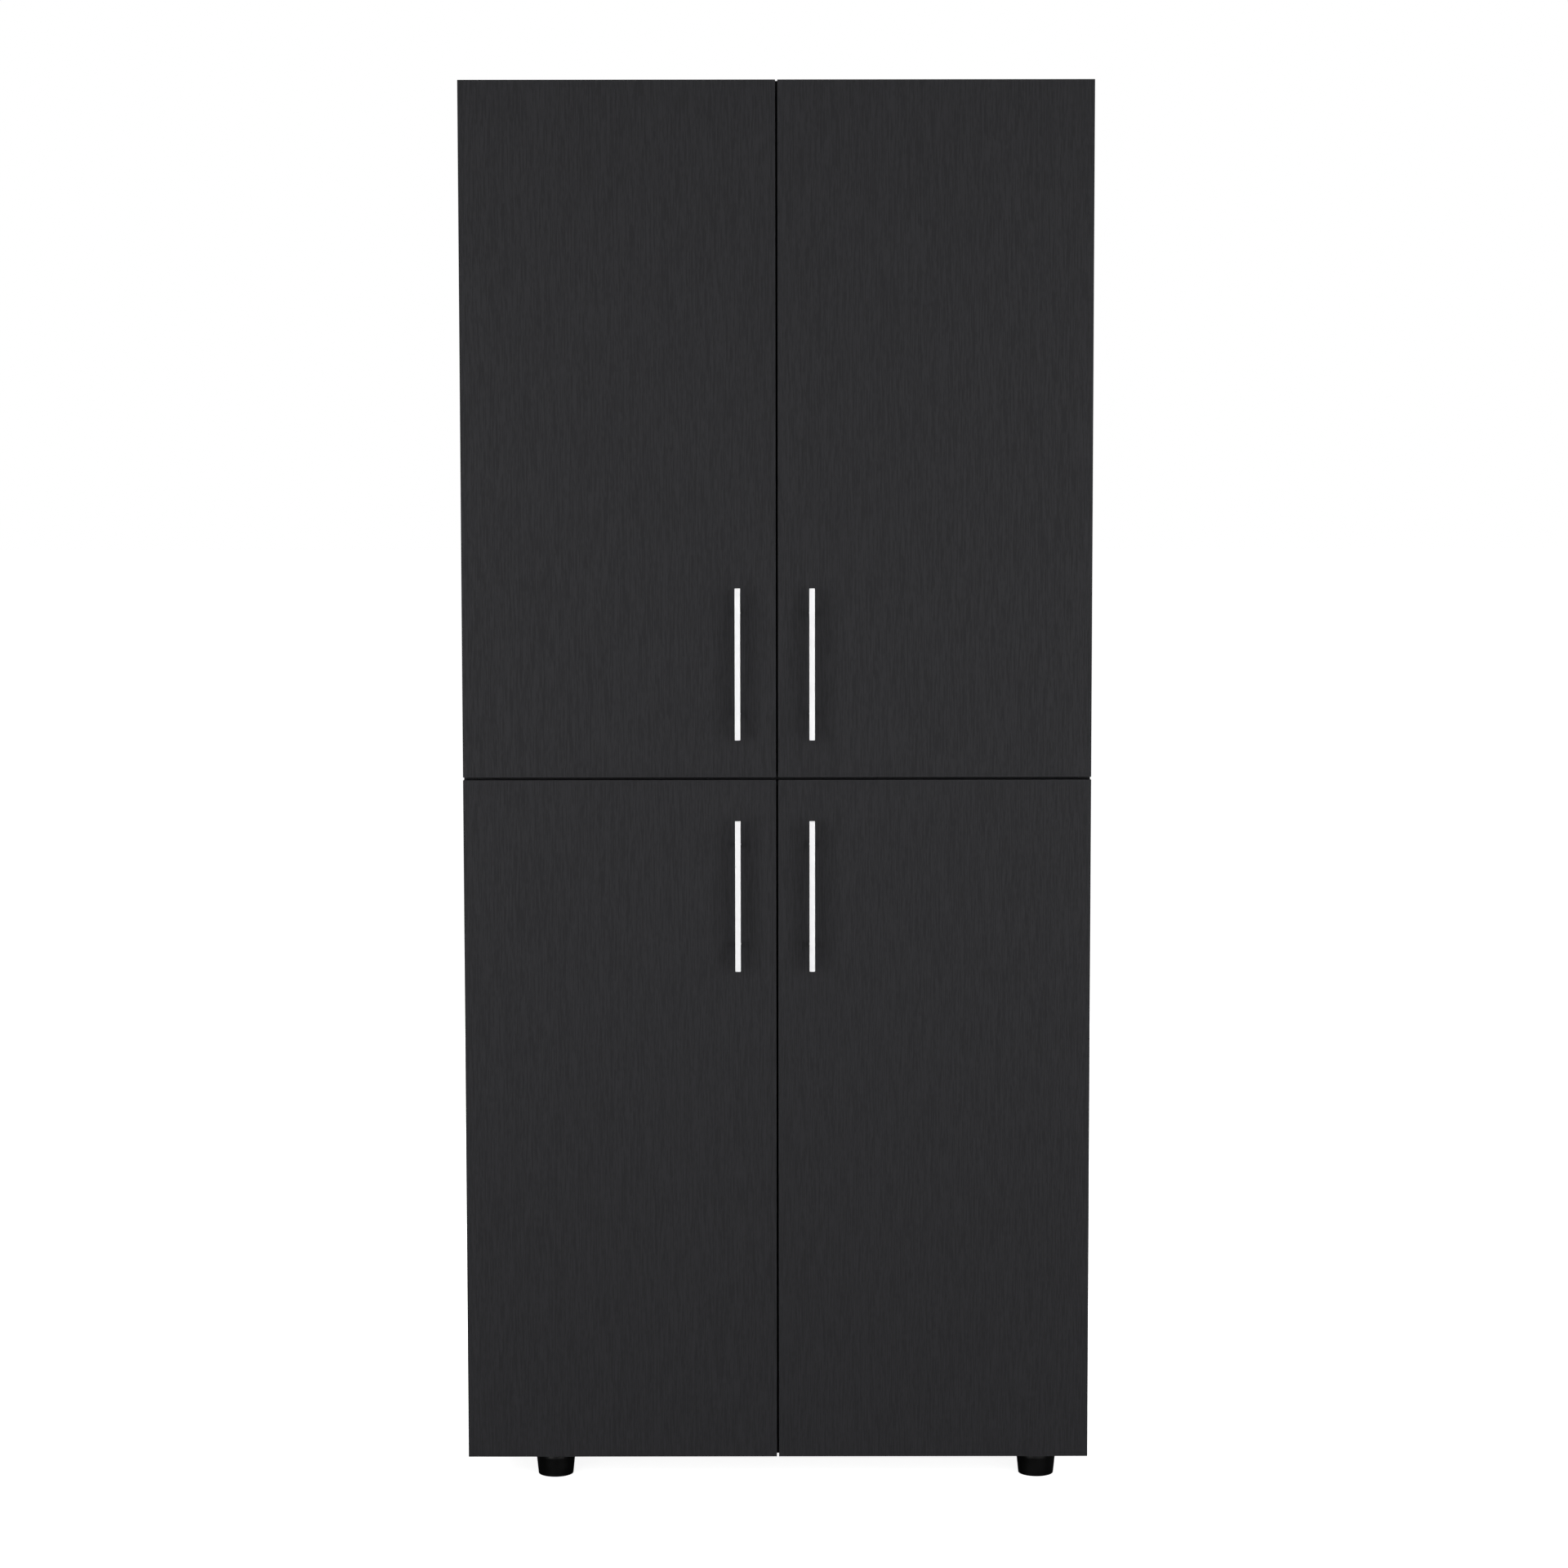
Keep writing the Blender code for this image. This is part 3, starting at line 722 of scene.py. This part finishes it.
def handles(finishes):
    """Each handle: a bar with soft edges on two round posts, each with a small collar on the door."""
    screw = screw_head(*HANDLE_SCREW)
    for where in DOORS:
        name = f"handle_{where}"
        low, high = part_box(name)
        centre = (low + high) / 2
        width = high.x - low.x
        bar_back = low.y + width
        bar = block(low, (high.x, bar_back, high.z), HANDLE_ROUND, 4)
        posts = []
        for sign in (-1, 1):
            reach = high.y - bar_back
            into_bar = reach + width / 2
            profile = [
                (0, 0), (COLLAR_RADIUS, 0), (COLLAR_RADIUS, COLLAR_HEIGHT),
                (POST_RADIUS, COLLAR_HEIGHT + COLLAR_TAPER), (POST_RADIUS, reach / 2),
                (POST_RADIUS, into_bar), (0, into_bar),
            ]
            at = (centre.x, high.y, centre.z + sign * HANDLE_HOLES / 2)
            posts.append(moved(turned(profile, 32), at, AIM["-y"]))
        piece = finished(bar, f"{name}_bar", [finishes.handle])
        carved(piece, unions=posts)
        settle(piece, f"door_{where}", "handle_satin", name)
        door_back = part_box(f"door_{where}")[1].y
        places = [((centre.x, door_back, centre.z + sign * HANDLE_HOLES / 2), "+y") for sign in (-1, 1)]
        screws = repeated(f"{name}_screws", screw, places, finishes.screw)
        settle(screws, f"door_{where}", "nickel_steel")


# ---------------------------------------------------------------- hinges

CUP_RADIUS = 0.0175
CUP_WALL = 0.0008
CUP_DEPTH = 0.0113
CUP_BOWL = 0.0030  # the round between its wall and its floor
CUP_SIDES = 56
CUP_LIP = 0.0006  # how far its mouth flares
CUP_LIP_DEPTH = 0.0005
RIM_RADIUS = 0.0185
FLANGE = 0.0012
FLANGE_ROUND = 0.0004
EAR_HALF_LENGTH = 0.027
EAR_HALF_WIDTH = 0.008
EAR_ROUND = 0.006
EAR_SCREW_PLACE = 0.0225
EAR_SCREW_SINK = 0.0002
EAR_SCREW = (0.0036, 0.0011, 0.0020)


def cup_shape(finishes):
    """A pressed hinge cup along +Z, its flange's underside at the origin."""
    inner = CUP_RADIUS - CUP_WALL
    floor = CUP_WALL - CUP_DEPTH
    inner_bowl = CUP_BOWL * 0.6
    top = FLANGE + OVERCUT
    ears = rounded_outline(rectangle(EAR_HALF_WIDTH, EAR_HALF_LENGTH), EAR_ROUND, 8)
    flange = prism(ears, 0, FLANGE, lambda x, y, z: (x, y, z), FLANGE_ROUND)
    outside = [
        (0, -CUP_DEPTH), (CUP_RADIUS - CUP_BOWL, -CUP_DEPTH),
        *arc((CUP_RADIUS - CUP_BOWL, CUP_BOWL - CUP_DEPTH), CUP_BOWL, -90, 0)[1:],
        (CUP_RADIUS, 0), *arc((RIM_RADIUS, FLANGE / 2), FLANGE / 2, -90, 90, 6), (0, FLANGE),
    ]
    inside = [
        (0, floor), (inner - CUP_BOWL, floor),
        *arc((inner - CUP_BOWL, floor + inner_bowl), inner_bowl, -90, -10)[1:],
        (inner, floor + CUP_BOWL), (inner, FLANGE - CUP_LIP_DEPTH), (inner + CUP_LIP, top), (0, top),
    ]
    piece = finished(turned(outside, CUP_SIDES), "cup", [finishes.steel])
    carved(piece, [turned(inside, CUP_SIDES)], [flange])
    return released(piece)


def hinge_cups(finishes):
    """The cups in the doors, with their screws."""
    cup = cup_shape(finishes)
    screw = screw_head(*EAR_SCREW)
    for where in DOORS:
        places = []
        for end in ENDS:
            name = f"hinge_cup_{where}_{end}"
            low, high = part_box(name)
            seat = Vector(((low.x + high.x) / 2, high.y - FLANGE, (low.z + high.z) / 2))
            piece = repeated(f"{name}_pressing", cup, [(seat, "+y")], finishes.steel)
            settle(piece, f"door_{where}", "nickel_steel", name)
            for step in (-EAR_SCREW_PLACE, EAR_SCREW_PLACE):
                places.append(((seat.x, high.y - EAR_SCREW_SINK, seat.z + step), "+y"))
        screws = repeated(f"cup_screws_{where}", screw, places, finishes.screw)
        settle(screws, f"door_{where}", "nickel_steel")


ARM_SCREWS = {
    "fixing": (0.0042, 0.0016, 0.0024),
    "adjusting": (0.0027, 0.0010, 0.0015),
    "wood": (0.0042, 0.0012, 0.0023),
}
FIXING_FROM_HEEL = 0.014
ADJUSTING_FROM_HEEL = 0.040
WOOD_SCREW_PLACE = 0.0175  # above and below the plate's middle


def hinge_arms(finishes):
    """The arms and mounting plates on the sides, with their screws."""
    heads = {label: screw_head(*sizes) for label, sizes in ARM_SCREWS.items()}
    spots = {label: [] for label in ARM_SCREWS}
    for where, side in DOORS.items():
        sign = SIDES[side]
        inward = "-x" if sign > 0 else "+x"
        for end in ENDS:
            arm = f"hinge_arm_{where}_{end}"
            low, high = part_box(arm)
            piece = arm_piece(arm, low, high, sign, finishes)
            settle(piece, "cabinet", "nickel_steel", arm)
            crown = low.x if sign > 0 else high.x
            z = (low.z + high.z) / 2
            spots["fixing"].append(((crown, high.y - FIXING_FROM_HEEL, z), inward))
            spots["adjusting"].append(((crown, high.y - ADJUSTING_FROM_HEEL, z), inward))
            plate = f"hinge_plate_{where}_{end}"
            settle(plate_piece(plate, finishes), "cabinet", "nickel_steel", plate)
            plate_low, plate_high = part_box(plate)
            face = plate_low.x if sign > 0 else plate_high.x
            y = (plate_low.y + plate_high.y) / 2
            for step in (-WOOD_SCREW_PLACE, WOOD_SCREW_PLACE):
                spots["wood"].append(((face, y, z + step), inward))
    for label, places in spots.items():
        screws = repeated(f"hinge_{label}_screws", heads[label], places, finishes.screw)
        settle(screws, "cabinet", "nickel_steel")


PIN_RADIUS = 0.0008
PIN_HALF_LENGTH = 0.0055
PIN_BEVEL = 0.0003
KNUCKLE_RADIUS = 0.0014
KNUCKLE_HALF_LENGTH = 0.0024
KNUCKLE_BEVEL = 0.0002
NOSE_HALF_WIDTH = 0.0025
ARM_HALF_WIDTH = 0.0060
ARM_ROUND = 0.0010
ARM_CORNER_ROUNDS = [0.0006, 0.003, 0.004, 0.003, 0.0012, 0.0005, 0.003, 0.003, 0.0003]
LEG_PLACE = 0.0130  # from the pin to the leg's inner face
LEG_HALF_THICK = 0.0007
LEG_BEND = 0.0135  # where the leg starts to slope, behind the pin
CROWN_START = 0.0205
CHANNEL_START = 0.0185
CHANNEL_DEPTH = 0.0063
HEEL_DROP = 0.003
HEEL_SLOPE = 0.008
SLOT_HALF_LENGTH = 0.0075
SLOT_HALF_WIDTH = 0.0021
SLOT_ROUND = 0.0020
SLOT_DEPTH = 0.0012
SLOT_FROM_HEEL = 0.027


def spindle(radius, half_length, bevel, sides, place):
    """A short upright rod with bevelled ends, its middle at a place."""
    tip, shoulder = radius - bevel, half_length - bevel
    profile = [
        (0, -half_length), (tip, -half_length), (radius, -shoulder),
        (radius, shoulder), (tip, half_length), (0, half_length),
    ]
    return moved(turned(profile, sides), place)


def arm_piece(name, low, high, sign, finishes):
    """One pressed hinge arm: a rounded channel, a bent leg and a nose around the pin."""
    z = (low.z + high.z) / 2
    outer = high.x if sign > 0 else low.x
    pivot = (outer - sign * KNUCKLE_RADIUS, low.y + KNUCKLE_RADIUS, z)

    def place(inward, back, height):
        return (pivot[0] - sign * inward, pivot[1] + back, z + height)

    crown = (high.x - low.x) - KNUCKLE_RADIUS
    heel = high.y - pivot[1]
    channel = crown - CHANNEL_DEPTH
    leg_outside = LEG_PLACE - 2 * LEG_HALF_THICK
    corners = [
        (LEG_PLACE, -LEG_HALF_THICK), (LEG_PLACE, LEG_BEND), (crown, CROWN_START),
        (crown, heel - HEEL_SLOPE), (crown - HEEL_DROP, heel), (channel, heel),
        (channel, CHANNEL_START), (leg_outside, LEG_BEND), (leg_outside, -LEG_HALF_THICK),
    ]
    outline = rounded_outline(corners, ARM_CORNER_ROUNDS)
    main = prism(outline, -ARM_HALF_WIDTH, ARM_HALF_WIDTH, place, ARM_ROUND)
    leg = LEG_PLACE - LEG_HALF_THICK
    bar = [(0, -LEG_HALF_THICK), (leg, -LEG_HALF_THICK), (leg, LEG_HALF_THICK), (0, LEG_HALF_THICK)]
    nose = prism(bar, -NOSE_HALF_WIDTH, NOSE_HALF_WIDTH, place)
    knuckle = spindle(KNUCKLE_RADIUS, KNUCKLE_HALF_LENGTH, KNUCKLE_BEVEL, 24, pivot)
    pin = spindle(PIN_RADIUS, PIN_HALF_LENGTH, PIN_BEVEL, 20, pivot)
    slot_middle = heel - SLOT_FROM_HEEL

    def slot_place(back, height, inward):
        return place(inward, slot_middle + back, height)

    slot_outline = rounded_outline(rectangle(SLOT_HALF_LENGTH, SLOT_HALF_WIDTH), SLOT_ROUND)
    slot = prism(slot_outline, crown - SLOT_DEPTH, crown + 2 * OVERCUT, slot_place)
    piece = finished(main, f"{name}_pressing", [finishes.steel])
    carved(piece, [slot], [nose, knuckle, pin])
    return piece


PLATE_HALF_LENGTH = 0.018
PLATE_HALF_WIDTH = 0.0065
PLATE_ROUND = 0.0006
WING_HALF_LENGTH = 0.008
WING_TIP_HALF = 0.005
WING_HALF_SPAN = 0.025
WING_ROUND = 0.004
CORNER_ROUND = 0.002


def plate_piece(name, finishes):
    """One cross-shaped mounting plate with rounded wings."""
    low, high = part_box(name)
    y, z = (low.y + high.y) / 2, (low.z + high.z) / 2
    half = [
        (-PLATE_HALF_LENGTH, -PLATE_HALF_WIDTH), (-WING_HALF_LENGTH, -PLATE_HALF_WIDTH),
        (-WING_TIP_HALF, -WING_HALF_SPAN), (WING_TIP_HALF, -WING_HALF_SPAN),
        (WING_HALF_LENGTH, -PLATE_HALF_WIDTH), (PLATE_HALF_LENGTH, -PLATE_HALF_WIDTH),
    ]
    corners = half + [(-a, -b) for a, b in half]
    radii = [CORNER_ROUND, CORNER_ROUND, WING_ROUND, WING_ROUND, CORNER_ROUND, CORNER_ROUND] * 2
    outline = rounded_outline(corners, radii)
    shape = prism(outline, low.x, high.x, lambda a, b, x: (x, y + a, z + b), PLATE_ROUND, 2)
    return finished(shape, f"{name}_pressing", [finishes.steel])


# ---------------------------------------------------------------- pegs and feet

PEG_RADIUS = 0.0025
PEG_ROUND = 0.0006
PEG_IN_SIDE = 0.0083


def pegs(finishes):
    """The shelf pegs, turned, with softly rounded ends."""
    for name in peg_nodes():
        low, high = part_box(name)
        centre = (low + high) / 2
        sign = SIDES["left" if name.endswith("left") else "right"]
        length = high.x - low.x
        head = (high.z - low.z) / 2
        tip = PEG_RADIUS - PEG_ROUND
        profile = [
            (0, 0), (tip, 0), *arc((tip, PEG_ROUND), PEG_ROUND, -90, 0)[1:],
            (PEG_RADIUS, PEG_IN_SIDE), (head - PEG_ROUND / 2, PEG_IN_SIDE),
            (head, PEG_IN_SIDE + PEG_ROUND / 2),
            *arc((head - PEG_ROUND, length - PEG_ROUND), PEG_ROUND, 0, 90), (0, length),
        ]
        start = (high.x if sign > 0 else low.x, centre.y, centre.z)
        shape = moved(turned(profile, 32), start, AIM["-x" if sign > 0 else "+x"])
        settle(finished(shape, f"{name}_pin", [finishes.steel]), "cabinet", "nickel_steel", name)


# A foot's outline, from the floor up
SOLE_RECESS = 0.0004
SOLE_RING_WIDTH = 0.0044
FOOT_BASE_RADIUS = 0.0229
FOOT_BASE_ROUND = 0.0012
FOOT_WALL_LEAN = 4  # in degrees, how far the base's round stops short of upright
FOOT_WIDEST_RADIUS = 0.0252
FOOT_WIDEST_HEIGHT = 0.0236
FOOT_CROWN_RADIUS = 0.018
FOOT_CROWN_ANGLE = 25
FOOT_TOP_ROUND = 0.0015
FOOT_NECK_RADIUS = 0.0205
FOOT_FILLET = 0.0016
FOOT_FLANGE_THICK = 0.0030
FOOT_FLANGE_ROUND = 0.0008
FOOT_SIDES = 72
FOOT_SMOOTH_ANGLE = 40


def foot_profile(flange, top):
    """Half of a foot's section: a taper with a soft base and shoulder, a neck and a flange."""
    sole = FOOT_BASE_RADIUS - SOLE_RING_WIDTH
    crown_middle = FOOT_WIDEST_RADIUS - FOOT_CROWN_RADIUS
    slope = math.radians(FOOT_CROWN_ANGLE)
    to_rim = FOOT_CROWN_RADIUS - FOOT_TOP_ROUND
    rim_middle = (
        crown_middle + to_rim * math.cos(slope),
        FOOT_WIDEST_HEIGHT + to_rim * math.sin(slope),
    )
    fillet_middle = FOOT_NECK_RADIUS + FOOT_FILLET
    neck_low = rim_middle[1] + FOOT_TOP_ROUND + FOOT_FILLET
    flange_low = top - FOOT_FLANGE_THICK
    edge = FOOT_FLANGE_ROUND
    return [
        (0, SOLE_RECESS), (sole - 1.5 * SOLE_RECESS, SOLE_RECESS), (sole, 0),
        *arc((FOOT_BASE_RADIUS - FOOT_BASE_ROUND, FOOT_BASE_ROUND), FOOT_BASE_ROUND, -90, -FOOT_WALL_LEAN),
        *arc((crown_middle, FOOT_WIDEST_HEIGHT), FOOT_CROWN_RADIUS, 0, FOOT_CROWN_ANGLE, 8),
        *arc(rim_middle, FOOT_TOP_ROUND, FOOT_CROWN_ANGLE, 90, 6)[1:],
        *arc((fillet_middle, neck_low), FOOT_FILLET, 270, 180, 5),
        *arc((fillet_middle, flange_low - FOOT_FILLET), FOOT_FILLET, 180, 90, 5),
        *arc((flange - edge, flange_low + edge), edge, -90, 0, 4),
        (flange, top), (0, top),
    ]


def feet(finishes):
    """The four moulded feet."""
    for name in sorted(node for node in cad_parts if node.startswith("foot_")):
        low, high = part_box(name)
        centre = (low + high) / 2
        profile = foot_profile((high.x - low.x) / 2, high.z - low.z)
        shape = moved(turned(profile, FOOT_SIDES), (centre.x, centre.y, low.z))
        piece = finished(shape, f"{name}_moulding", [finishes.foot], FOOT_SMOOTH_ANGLE)
        settle(piece, "cabinet", "foot_plastic", name)


# ---------------------------------------------------------------- stage


def floor():
    """A plain pale floor. Towards the camera it glows, so that it meets the backdrop without an edge.

    To every other ray it is dark, so that the feet don't mirror it.
    """
    low = (-FLOOR_SIZE, -FLOOR_SIZE, -FLOOR_THICK)
    shape = block(low, (FLOOR_SIZE, FLOOR_SIZE, -FLOOR_GAP))
    paint = Paint("pale_floor", Roughness=0.9, Specular_IOR_Level=0.0)
    cloud = paint.noise((0.8, 0.8, 0.8), detail=1.0)
    pale = paint.mix(cloud, (0.74, 0.74, 0.74), (0.76, 0.76, 0.76))
    seen = paint.node("LightPath").outputs["Is Camera Ray"]
    paint.paint("Base Color", paint.mix(seen, [FLOOR_BOUNCE] * 3, pale))
    paint.paint("Emission Color", (*WHITE, 1))
    paint.paint("Emission Strength", paint.math("MULTIPLY", seen, FLOOR_GLOW))
    finished(shape, "floor", [paint.material])


def softbox(name, at, aim, size, radiance):
    """A rectangular area light of a radiance that looks at a point. Its size is (width, height)."""
    light = bpy.data.lights.new(name, "AREA")
    light.shape = "RECTANGLE"
    light.size, light.size_y = size
    light.energy = radiance * math.pi * size[0] * size[1]
    made = bpy.data.objects.new(name, light)
    bpy.context.scene.collection.objects.link(made)
    made.location = at
    made.rotation_euler = (Vector(aim) - Vector(at)).to_track_quat("-Z", "Y").to_euler()
    made.visible_camera = False


def backdrop():
    """A white backdrop for the camera, and a dimmer dome that lights the object from all round."""
    world = bpy.data.worlds.new("studio")
    bpy.context.scene.world = world
    world.use_nodes = True
    tree = world.node_tree
    dome = tree.nodes["Background"]
    dome.inputs["Color"].default_value = (*WHITE, 1)
    dome.inputs["Strength"].default_value = DOME
    white = tree.nodes.new("ShaderNodeBackground")
    white.inputs["Color"].default_value = (*WHITE, 1)
    white.inputs["Strength"].default_value = BACKDROP
    path = tree.nodes.new("ShaderNodeLightPath")
    mixer = tree.nodes.new("ShaderNodeMixShader")
    tree.links.new(path.outputs["Is Camera Ray"], mixer.inputs[0])
    tree.links.new(dome.outputs[0], mixer.inputs[1])
    tree.links.new(white.outputs[0], mixer.inputs[2])
    tree.links.new(mixer.outputs[0], tree.nodes["World Output"].inputs["Surface"])


def studio():
    """Soft light from the front, both sides, above and behind, and the camera."""
    backdrop()
    floor()
    heart = (0, 0, 0.9)
    front_height = 0.88
    for side, sign in SIDES.items():
        front = (sign * 1.8, -3.2, front_height)
        softbox(f"front_{side}", front, (0, 0, front_height), (2.05, 2.4), 5.34)
        softbox(f"beside_{side}", (sign * 3.4, 0.6, 4.4), heart, (2.4, 2.4), 5.0)
    softbox("above", (0, 0.8, 4.6), heart, (3.0, 2.4), 2.2)
    softbox("high_front", (0, -3.2, 5.6), heart, (3.6, 3.0), 0.9)
    softbox("behind", (0, 4.6, 2.6), heart, (3.0, 3.0), 2.4)
    data = bpy.data.cameras.new("camera")
    data.lens = CAMERA_LENS
    camera = bpy.data.objects.new("camera", data)
    bpy.context.scene.collection.objects.link(camera)
    camera.location = CAMERA_AT
    level = Matrix.Rotation(math.radians(90 - CAMERA_PITCH), 4, "X")
    roll = Matrix.Rotation(math.radians(CAMERA_ROLL), 4, "Z")
    camera.rotation_euler = (level @ roll).to_euler()
    bpy.context.scene.camera = camera
    bpy.context.scene.view_settings.view_transform = "Standard"


finishes = Finishes()
side_panels(finishes)
level_panels(finishes)
back_boards(finishes)
doors(finishes)
handles(finishes)
hinge_cups(finishes)
hinge_arms(finishes)
pegs(finishes)
feet(finishes)
studio()
